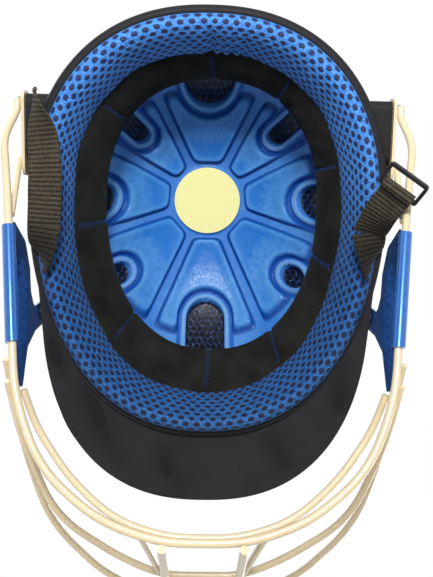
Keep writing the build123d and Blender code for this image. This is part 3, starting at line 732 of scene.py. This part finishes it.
def windowGap(x, y):
    # distance in plan from the nearest window's edge, and the walk along that edge for its ribs
    best = np.full(np.shape(x), 1e3)
    walk = np.zeros(np.shape(x))
    for bearing, reach, half, run in linerPlan["windows"]:
        angle = radians(bearing)
        ahead = np.array([sin(angle), -cos(angle)])
        aside = np.array([cos(angle), sin(angle)])
        u = x * ahead[0] + (y - shell["middleY"]) * ahead[1] - reach
        v = x * aside[0] + (y - shell["middleY"]) * aside[1]
        over = u - np.clip(u, 0, run)
        gap = np.hypot(over, v) - half
        spot = np.where(u < 0, np.arctan2(v, -u) * half, np.sign(v) * (pi / 2 * half + np.clip(u, 0, run)))
        walk = np.where(gap < best, spot, walk)
        best = np.minimum(gap, best)
    return best, walk


def wedgeGap(px, py, windowEdge):
    # distance inside the nearest wedge's outline: from the two channels beside it, the boss, the band and the
    # window, joined by rounded corners
    plan = linerPlan
    bearing, reach = np.arctan2(px, -py), np.hypot(px, py)
    right = np.radians(plan["channels"])
    bounds = np.concatenate([-right[::-1], right])
    middles = np.concatenate([[-pi], (bounds[1:] + bounds[:-1]) / 2, [pi]])
    off = (bearing[..., None] - bounds + pi) % (2 * pi) - pi
    aside = np.where(np.abs(off) < pi / 2, reach[..., None] * np.abs(np.sin(off)), 1e3).min(-1)
    ahead = reach * np.cos(bearing - middles[(bearing[..., None] > bounds).sum(-1)])
    sides = aside - plan["channel"] / 2 * (1 + 0.25 * smooth(40, 90, reach))
    wedge = softMin(sides, ahead - plan["innerReach"], plan["rounding"])
    width, rear, front = plan["limit"]
    along = np.where(py > 0, rear - shell["middleY"], front + shell["middleY"])
    fullness = shell["planFullness"]
    outward = (np.abs(px / width) ** fullness + np.abs(py / along) ** fullness) ** (1 / fullness)
    wedge = softMin(wedge, (1 - outward) * 80, plan["rounding"])
    return softMin(wedge, windowEdge - plan["margin"], plan["rounding"])


def linerRelief(x, y):
    # height over the floor: wedges rise from steep walls and sag a little, lips ring the windows
    plan = linerPlan
    gap, walk = windowGap(x, y)
    wedge = wedgeGap(x, y - shell["middleY"], gap)
    height = plan["padHeight"] * smooth(-0.5, 2.2, wedge) - plan["padSag"] * smooth(3.0, 11.0, wedge)
    lip = smooth(-0.6, 0.6, gap) * (1 - smooth(plan["lipWide"] - 1.4, plan["lipWide"] + 1.0, gap))
    height = np.maximum(height, lip * plan["lipHeight"])
    height = np.where(gap < 0, height - plan["netDepth"] * (1 - smooth(-0.9, 0.0, gap)), height)
    return height, gap, wedge, walk


def netColor(finish, x, y):
    # net behind the windows: threads where two crossed rows of cells are far, ragged by noise, with painted
    # glints on them placed by noise
    pitch = linerPlan["netPitch"]
    near = crossedRows(x, y, pitch, pitch * 1.732)
    net = finish.ramp(near + (finish.noise(500.0, 2.0) - 0.5) * 0.0006, 0.0016, 0.0024)
    # painted glints: lighter specks on the net threads
    paintedGlint = finish.ramp(finish.noise(420.0, 2.0), 0.5, 0.75)
    thread = finish.mix(paintedGlint, linerColors["net"], linerColors["netPaintedGlint"])
    return finish.mix(net, linerColors["hole"], thread)


def linerFinish():
    # each colour covers the one before it by a mask, a strip or a line of the distances to wedge and window:
    # the lighter channel floor is painted light, the crests, the outer crests and the lips carry painted
    # highlights, and the wall and lip-groove lines are painted shade; the relief is the sum of leather grain,
    # wrinkles, a fan of them round the windows and ribs on the lips
    plan, colors = linerPlan, linerColors
    finish = Finish("blueMoulding", colors["all"], 0.3, specular=0.35)
    gap, wedge, walk = (finish.attribute(name) for name in ("windowGap", "wedgeGap", "windowWalk"))
    x, y, z = finish.xyz()

    def strip(value, start, full, fade, end):
        # 0 outside start and end, 1 between full and fade
        return finish.ramp(value, start, full) * (1 - finish.ramp(value, fade, end))

    def line(value, full, end):
        # 1 within full of zero, 0 beyond end
        return 1 - finish.ramp(value.size(), full, end)

    cells = {"Vector": finish.coords(), "Scale": 560.0}
    grain = finish.ramp(finish.node("TexVoronoi", {"feature": "DISTANCE_TO_EDGE"}, cells), 0.0, 0.12)
    wrinkle = finish.noise(240.0, 4.0)
    fan = finish.noise(1.0, 2.0, vector=finish.node("CombineXYZ", None, {"X": walk * 0.9, "Y": gap * 0.13}))
    fan = fan * strip(gap, 5.0, 9.0, 16.0, 34.0)
    lip = strip(gap, -0.1, 0.7, plan["lipWide"] - 1.2, plan["lipWide"] + 0.6)
    ribs = (walk * (2 * pi / plan["ribPitch"])).sine() * 0.5 + 0.5
    outer = 1 - finish.ramp(z, 0.066, 0.082)
    onWedge = finish.ramp(wedge, -0.6, 0.8)
    # painted light: the inner channel floor colour is lighter than the wedges
    skin = finish.mix(onWedge, finish.mix(outer, colors["floor"], colors["outerFloor"]), colors["wedge"])
    covers = {
        "fan": finish.ramp(fan + wrinkle * 0.5, 0.35, 0.8) * 0.45,
        # painted highlight: a lighter strip just inside each wedge's edge
        "paintedCrestHighlight": strip(wedge, 1.4, 2.8, 3.2, 6.5) * 0.3,
        # painted highlight: a near-white strip at the wedge ends low in the liner
        "paintedOuterCrestHighlight": strip(wedge, 0.9, 2.2, 2.6, 4.6) * outer * 0.6,
        # painted shade: a dark line round each wedge's foot
        "paintedWallShade": line(wedge - 0.1, 0.3, 1.7) * 0.85,
        # painted shade: a dark line in the groove between lip and wedge
        "paintedLipGrooveShade": line(gap - plan["lipWide"] - 1.6, 0.4, 2.0) * 0.7,
        # painted highlight: the ribbed lips are painted light, brightest on the ribs
        "lip": lip * (ribs * 0.45 + 0.35),
    }
    for name, mask in covers.items():
        skin = finish.mix(mask, skin, colors[name])
    finish.set("Base Color", finish.mix(finish.ramp(gap, -0.9, -0.2), netColor(finish, x, y), skin))
    finish.bump(grain * 0.3 + wrinkle * 0.5 + fan * 0.8 + ribs * lip * 0.7, 0.0006, 0.6)
    return finish


def makeLiner():
    # the dome at the liner's depth, on a grid of even steps round and up, raised towards the deeper dome by
    # the relief, with the boss flat
    plan = linerPlan
    turn = np.linspace(0, 2 * pi, plan["around"], endpoint=False)
    climb = np.linspace(0, pi / 2, 4001)
    profile = domePoint(np.array(0.4), climb, plan["depth"])
    walked = runLengths(profile[None], 1)[0]
    lowest = np.argmin(np.abs(profile[:, 2] - plan["bottomZ"]))
    wanted = np.linspace(walked[lowest], walked[-1] - plan["topGap"], plan["rows"])
    climbs = np.interp(wanted, walked, climb)
    grid = domePoint(turn[:, None], climbs[None, :], plan["depth"])
    height, gap, wedge, walk = linerRelief(grid[..., 0], grid[..., 1])
    deeper = domePoint(turn[:, None], climbs[None, :], plan["depth"] + plan["reliefStep"])
    raised = grid + (deeper - grid) * (height / plan["reliefStep"])[..., None]
    reach = np.hypot(grid[..., 0], grid[..., 1] - shell["middleY"])
    boss = 1 - smooth(plan["bossRadius"] - 1.4, plan["bossRadius"] + 1.0, reach)
    raised[..., 2] = raised[..., 2] * (1 - boss) + plan["bossZ"] * boss
    distances = {"windowGap": gap, "wedgeGap": wedge, "windowWalk": walk}
    liner = buildMesh("crownLinerMoulding", raised, wrapU=True, flip=True, attributes=distances)
    dress(liner, linerFinish())
    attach(liner, "helmet")
    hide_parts("crown_liner", "crown_mesh")


makeLiner()
print("crown liner made")


# Cloth cover, drawn over the shell, and the bead round its rim
coverPlan = {"around": 360, "rows": 120, "skirt": (1.0, 31.0), "skirtRows": 14, "middleY": 5.0, "fold": 0.25}
beadPlan = {
    "section": [(4.4, -0.3), (3.6, -2.9), (0.6, -3.6), (-1.9, -1.9), (-2.3, 1.5), (-1.9, 4.4), (-0.4, 6.1),
                (0.4, 4.0), (0.4, 0.0)],
    "around": 480, "across": 40, "frontThin": 0.7, "frontFlat": 0.6,
}


def makeCover():
    # upright skirt and dome of the shell's outline; sine wrinkles push its low part out and in
    plan = coverPlan
    turn = np.linspace(0, 2 * pi, plan["around"], endpoint=False)[:, None]
    climbs = np.linspace(0, pi / 2 - 0.004, plan["rows"])
    levels = np.linspace(*plan["skirt"], plan["skirtRows"])[None]
    skirtX, skirtY = shellOval(turn, levels, 0.0)
    skirt = np.stack(np.broadcast_arrays(skirtX, skirtY, levels + 0 * turn), -1)
    dome = domePoint(turn, climbs[None], 0.0)
    grid = np.concatenate([skirt, dome], 1)
    low = 1 - smooth(10, 45, grid[..., 2:])
    folds = plan["fold"] * low * (np.sin(turn * 37) + np.sin(turn * 61 + 1))[..., None]
    grid[..., :2] += unit(grid[..., :2] - np.array([0, plan["middleY"]])) * folds
    turnedIn = grid[:, :1] * np.array([0.99, 0.99, 0.992]) + np.array([0, 0.1, 0.4])
    cover = buildMesh("clothCoverSkin", np.concatenate([turnedIn, grid], 1), wrapU=True)
    dress(cover, coverCloth)
    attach(cover, "helmet")
    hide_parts("cloth_cover")


def makePiping():
    # rounded section carried round the rim, thinned and flattened by a share under the peak's cloth in front
    plan = beadPlan
    section = closedCurve(plan["section"], plan["across"])
    turn = np.linspace(0, 2 * pi, plan["around"], endpoint=False)[:, None]
    inset, level = np.broadcast_arrays(section[None, :, 0], section[None, :, 1] + 0 * turn)
    front = smooth(0.1, -0.6, np.sin(turn))
    inset = np.where(inset < 0, inset * (1 - plan["frontThin"] * front), inset)
    level = np.where(level < 0, level * (1 - plan["frontFlat"] * front), level)
    x, y = shellOval(turn, level, inset)
    grid = np.stack([x, y, level], -1)
    bead = buildMesh("rimPiping", grid, wrapU=True, wrapV=True)
    dress(bead, plain["piping"])
    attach(bead, "helmet")
    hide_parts("rim_binding")


makeCover()
makePiping()
print("cover and piping made")


# Peak: cloth drawn over a bowed board, with a rounded edge
peakPlan = {
    "halfWidth": 108.5, "reach": 189.0, "middleY": -50.0, "rearY": -10.0, "fullness": 2.35, "thick": 6.4,
    "bow": 560.0, "crownZ": 17.0, "droop": 3.0, "around": 300, "across": 60, "edgeSteps": 15,
    "rootLevel": 2.0, "rootInset": 1.2, "seamInset": 7.0, "seamDepth": 0.35, "seamWidth": 0.8, "wave": 0.3,
    "folds": [((84, -100), (74, -128), (53, -165)), ((30, -146), (24, -165), (10, -180)),
              ((-40, -138), (-52, -152), (-60, -166)), ((-88, -88), (-92, -108), (-88, -126)),
              ((98, -62), (100, -84), (93, -104))],
    "foldDepth": 1.1, "foldWide": 7.0, "foldSteps": 40,
}


def peakSurface(x, y, depth):
    # a round bow across and a straight droop forwards, depth below its upper face
    plan = peakPlan
    z = plan["crownZ"] - plan["bow"] + np.sqrt((plan["bow"] - depth) ** 2 - x ** 2)
    return z + y * sin(radians(plan["droop"]))


def foldShare(x, y):
    # soft creases: a bell of the distance from each crease's own curve, fading at its ends
    plan = peakPlan
    share = np.zeros(np.shape(x))
    for places in plan["folds"]:
        line = curvePoints(places, plan["foldSteps"])
        gap = np.hypot(x[..., None] - line[:, 0], y[..., None] - line[:, 1])
        strength = np.sin(pi * gap.argmin(-1) / (plan["foldSteps"] - 1)) ** 0.5
        share += strength * np.exp(-(gap.min(-1) / plan["foldWide"]) ** 2)
    return share


def makePeak():
    # two bowed faces drawn between the rim's outline and the peak's, joined by a half-round edge; the lower
    # face has the sine waves and the creases, and a bell sinks the seam in both
    plan = peakPlan
    turn = np.linspace(-pi + 0.02, -0.02, plan["around"])
    outer = oval(turn, plan["halfWidth"], plan["rearY"], plan["reach"], plan["fullness"], plan["middleY"])
    outer, inner = np.stack(outer, -1), np.stack(shellOval(turn, plan["rootLevel"], plan["rootInset"]), -1)
    half = plan["thick"] / 2
    span = np.linalg.norm(outer - inner, axis=-1)[:, None]
    keep = np.clip(1 - half / np.maximum(span, half + 0.01), 0, 1)
    share = np.linspace(0, 1, plan["across"])[None] ** 0.9 * keep
    flat = inner[:, None] + (outer - inner)[:, None] * share[..., None]
    outward = unit(outer - inner + 1e-6)
    x, y = flat[..., 0], flat[..., 1]
    wave = plan["wave"] * (np.sin(x * 0.11 + y * 0.05) + 0.8 * np.sin(x * 0.23 - y * 0.19))
    crease = foldShare(x, y)
    toEdge = span * (1 - share)
    seam = plan["seamDepth"] * np.exp(-((toEdge - plan["seamInset"]) / plan["seamWidth"]) ** 2)
    under = peakSurface(x, y, plan["thick"]) + wave + crease * plan["foldDepth"] + seam
    low = np.concatenate([flat, under[..., None]], -1)
    high = np.concatenate([flat, (peakSurface(x, y, 0.0) - seam)[..., None]], -1)
    angles = np.linspace(-pi / 2, pi / 2, plan["edgeSteps"])[1:-1]
    edge = flat[:, -1:] + outward[:, None] * (half * np.cos(angles))[None, :, None]
    middle = peakSurface(edge[..., 0], edge[..., 1], half)
    rim = np.concatenate([edge, (middle + half * np.sin(angles)[None])[..., None]], -1)
    # the fold attribute keeps the crease share, which the peak's cloth also uses for painted shade in its
    # creases
    fold = np.concatenate([crease, np.zeros(rim.shape[:2]), np.zeros(crease.shape)], 1)
    grid = np.concatenate([low, rim, high[:, ::-1]], 1)
    peak = buildMesh("peakClothSkin", grid, flip=True, attributes={"fold": fold})
    dress(peak, peakCloth)
    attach(peak, "helmet")
    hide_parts("peak_cover")


makePeak()
print("peak made")


# Webbing: ribbed straps carried through the same stations as the solids, each a centre and a width direction
webbingPlan = {
    "width": 21.0, "thick": 1.7, "edgeThin": 0.7, "ribPitch": 2.9, "ribHeight": 0.22, "yarnPitch": 0.9,
    "fine": 0.35, "across": 15, "color": (52, 46, 38), "worn": ((58, 52, 42), (88, 80, 66)),
    # the groove colour is painted shade in the troughs between ribs, and the shade colour is painted shade
    # towards the anchor
    "paintedGrooveShade": (22, 19, 15), "fleck": (122, 114, 98), "shade": (14, 12, 10), "shadeFrom": (-0.014, 0.012),
}
strapPlan = {
    "left": {
        "neck": [((106.2, -24.0, -5.8), (0.13, 0.99, 0)), ((106.0, -13.0, -12.0), (0.7, 0.55, 0.35)),
                 ((104.5, 2.0, -13.0), (1, 0.06, 0))],
        "strap": [((104.57, 1.0, -13.0), (1, 0.06, 0)), ((103.5, 30.0, -12.5), (1, 0, 0)),
                  ((105.0, 58.0, -11.0), (0.94, 0, 0.34)), ((108.3, 80.0, -14.0), (0.3, 0, 0.95)),
                  ((108.9, 87.0, -14.5), (0.3, 0, 0.95))],
        "widths": ((0, 0.92, 1), (21.0, 21.0, 15.0)),
    },
    "right": {
        "neck": [((-106.2, -24.0, -5.8), (0.13, -0.99, 0)), ((-105.6, -13.0, -12.5), (0.7, -0.55, -0.35)),
                 ((-103.7, 1.0, -15.0), (1, 0.16, 0))],
        "strap": [((-103.7, 1.0, -15.0), (1, 0.16, 0)), ((-106.58, 14.57, -31.23), (0.7996, 0.5668, 0.1982)),
                  ((-112.30, 26.35, -41.83), (0.7996, 0.5668, 0.1982))],
        "widths": ((0, 1), (21.0, 21.0)),
    },
}
loopPlan = {
    "centre": (-113.2, 28.2, -43.5), "along": (0.799634, 0.566818, 0.198249), "towards": (-0.34, 0.7, -0.63),
    "outer": 3.5, "inner": 1.85, "ribs": 13, "ribHeight": 0.14, "rows": 40, "around": 48,
}


def webbingFinish():
    # ribs run across the strap and yarns wind along it, both as sine waves of the strap's own measures, with
    # painted shade in the troughs between ribs, flecks of noise on the yarns and painted shade towards the
    # anchor
    plan = webbingPlan
    weave = Finish("webbingWeave", plan["color"], 0.8, sheen=0.05, specular=0.2)
    u, v = weave.uv()
    wind = (u * (2 * pi / plan["ribPitch"])).sine()
    ribs = wind * 0.5 + 0.5
    yarn = (v * (2 * pi / plan["yarnPitch"]) + wind).sine() * 0.5 + 0.5
    worn = weave.mix(weave.noise(70.0, 2.0), *plan["worn"])
    # painted shade: the rib troughs are darkest
    cloth = weave.mix(weave.ramp(ribs * 0.7 + yarn * 0.3, 0.0, 0.95), plan["paintedGrooveShade"], worn)
    cloth = weave.mix(weave.ramp(weave.noise(1200.0, 2.0), 0.52, 0.72) * 0.45, cloth, plan["fleck"])
    # painted shade: darker towards the anchor, where the ring shades the strap
    shade = weave.ramp(weave.xyz()[1] * -1.0, *plan["shadeFrom"]) * 0.6
    weave.set("Base Color", weave.mix(shade, cloth, plan["shade"]))
    weave.bump(ribs * 0.6 + yarn * 0.4, 0.0003, 0.7)
    return weave


webbing = webbingFinish()


def ribbon(stations, widths):
    # flat section carried along a curve through the stations; its thickness is a sine wave of the mm walked
    plan = webbingPlan
    centres, across = (np.array(side, float) for side in zip(*stations))
    count = int(runLengths(centres[None], 1)[0, -1] / plan["fine"])
    path = curvePoints(centres, count)
    side = unit(curvePoints(unit(across), count))
    ahead = unit(np.gradient(path, axis=0))
    side = unit(side - ahead * (side * ahead).sum(-1, keepdims=True))
    up = np.cross(side, ahead)
    walked = runLengths(path[None], 1)[0]
    width = np.interp(walked / walked[-1], *widths)
    rib = plan["ribHeight"] * np.sin(walked * 2 * pi / plan["ribPitch"])
    share = np.linspace(-1, 1, plan["across"])
    thin = np.where(np.abs(share) > 0.98, plan["edgeThin"], 1.0)
    offU = np.concatenate([share, share[::-1]])[None] * (width / 2)[:, None]
    offV = np.concatenate([thin, -thin[::-1]])[None] * (plan["thick"] / 2 + rib)[:, None]
    grid = path[:, None] + offU[..., None] * side[:, None] + offV[..., None] * up[:, None]
    uv = np.zeros((count, offU.shape[1] + 1, 2))
    uv[..., 0] = walked[:, None]
    uv[:, :-1, 1] = offU
    uv[:, -1, 1] = offU[:, 0]
    return grid, uv


def makeStraps():
    # on each side a strap that swings on its own body, and a curved neck built in place between it and its
    # anchor on the helmet
    for side, plan in strapPlan.items():
        node, neckNode = f"strap_{side}", f"strap_neck_{side}"
        grid, uv = ribbon(plan["strap"], plan["widths"])
        strap = buildMesh(f"{side}StrapWebbing", grid, wrapV=True, caps=True, uv=uv)
        dress(strap, webbing)
        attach(strap, node)
        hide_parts(node)
        grid, uv = ribbon(plan["neck"], ((0, 1), (webbingPlan["width"], webbingPlan["width"])))
        neck = buildMesh(f"{side}StrapNeck", grid, wrapV=True, caps=True, uv=uv)
        dress(neck, webbing)
        start, end = plan["neck"][0][0], plan["neck"][-1][0]
        tuple(c / 1000 for c in start)
        tuple(c / 1000 for c in end)
        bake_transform(neck)
        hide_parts(neckNode)


def makeLoop():
    # webbing round the lock's bar: two circles swept along it, the outer one ribbed by a sine of its angle
    plan = loopPlan
    centre, along = np.array(plan["centre"]), unit(np.array(plan["along"]))
    other = unit(np.array(plan["towards"]))
    other = unit(other - along * other.dot(along))
    half = webbingPlan["width"] / 2
    spine = centre + np.linspace(-half, half, plan["rows"])[:, None, None] * along
    angle = np.linspace(0, 2 * pi, plan["around"], endpoint=False)
    ring = np.cos(angle)[:, None] * other + np.sin(angle)[:, None] * np.cross(along, other)
    radius = plan["outer"] + plan["ribHeight"] * np.sin(angle * plan["ribs"])
    outer, inner = spine + (ring * radius[:, None])[None], spine + (ring * plan["inner"])[None]
    grid = np.concatenate([outer, inner[::-1]], 0)
    uv = np.zeros((len(grid) + 1, plan["around"] + 1, 2))
    uv[..., 0] = np.linspace(0, 22.1, plan["around"] + 1)
    loop = buildMesh("rightStrapLoop", grid, wrapU=True, wrapV=True, flip=True, uv=uv)
    dress(loop, webbing)
    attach(loop, "strap_right")
    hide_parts("strap_right")


makeStraps()
makeLoop()
dressNodes(webbing, "strap_anchor_tabs")
print("straps made")
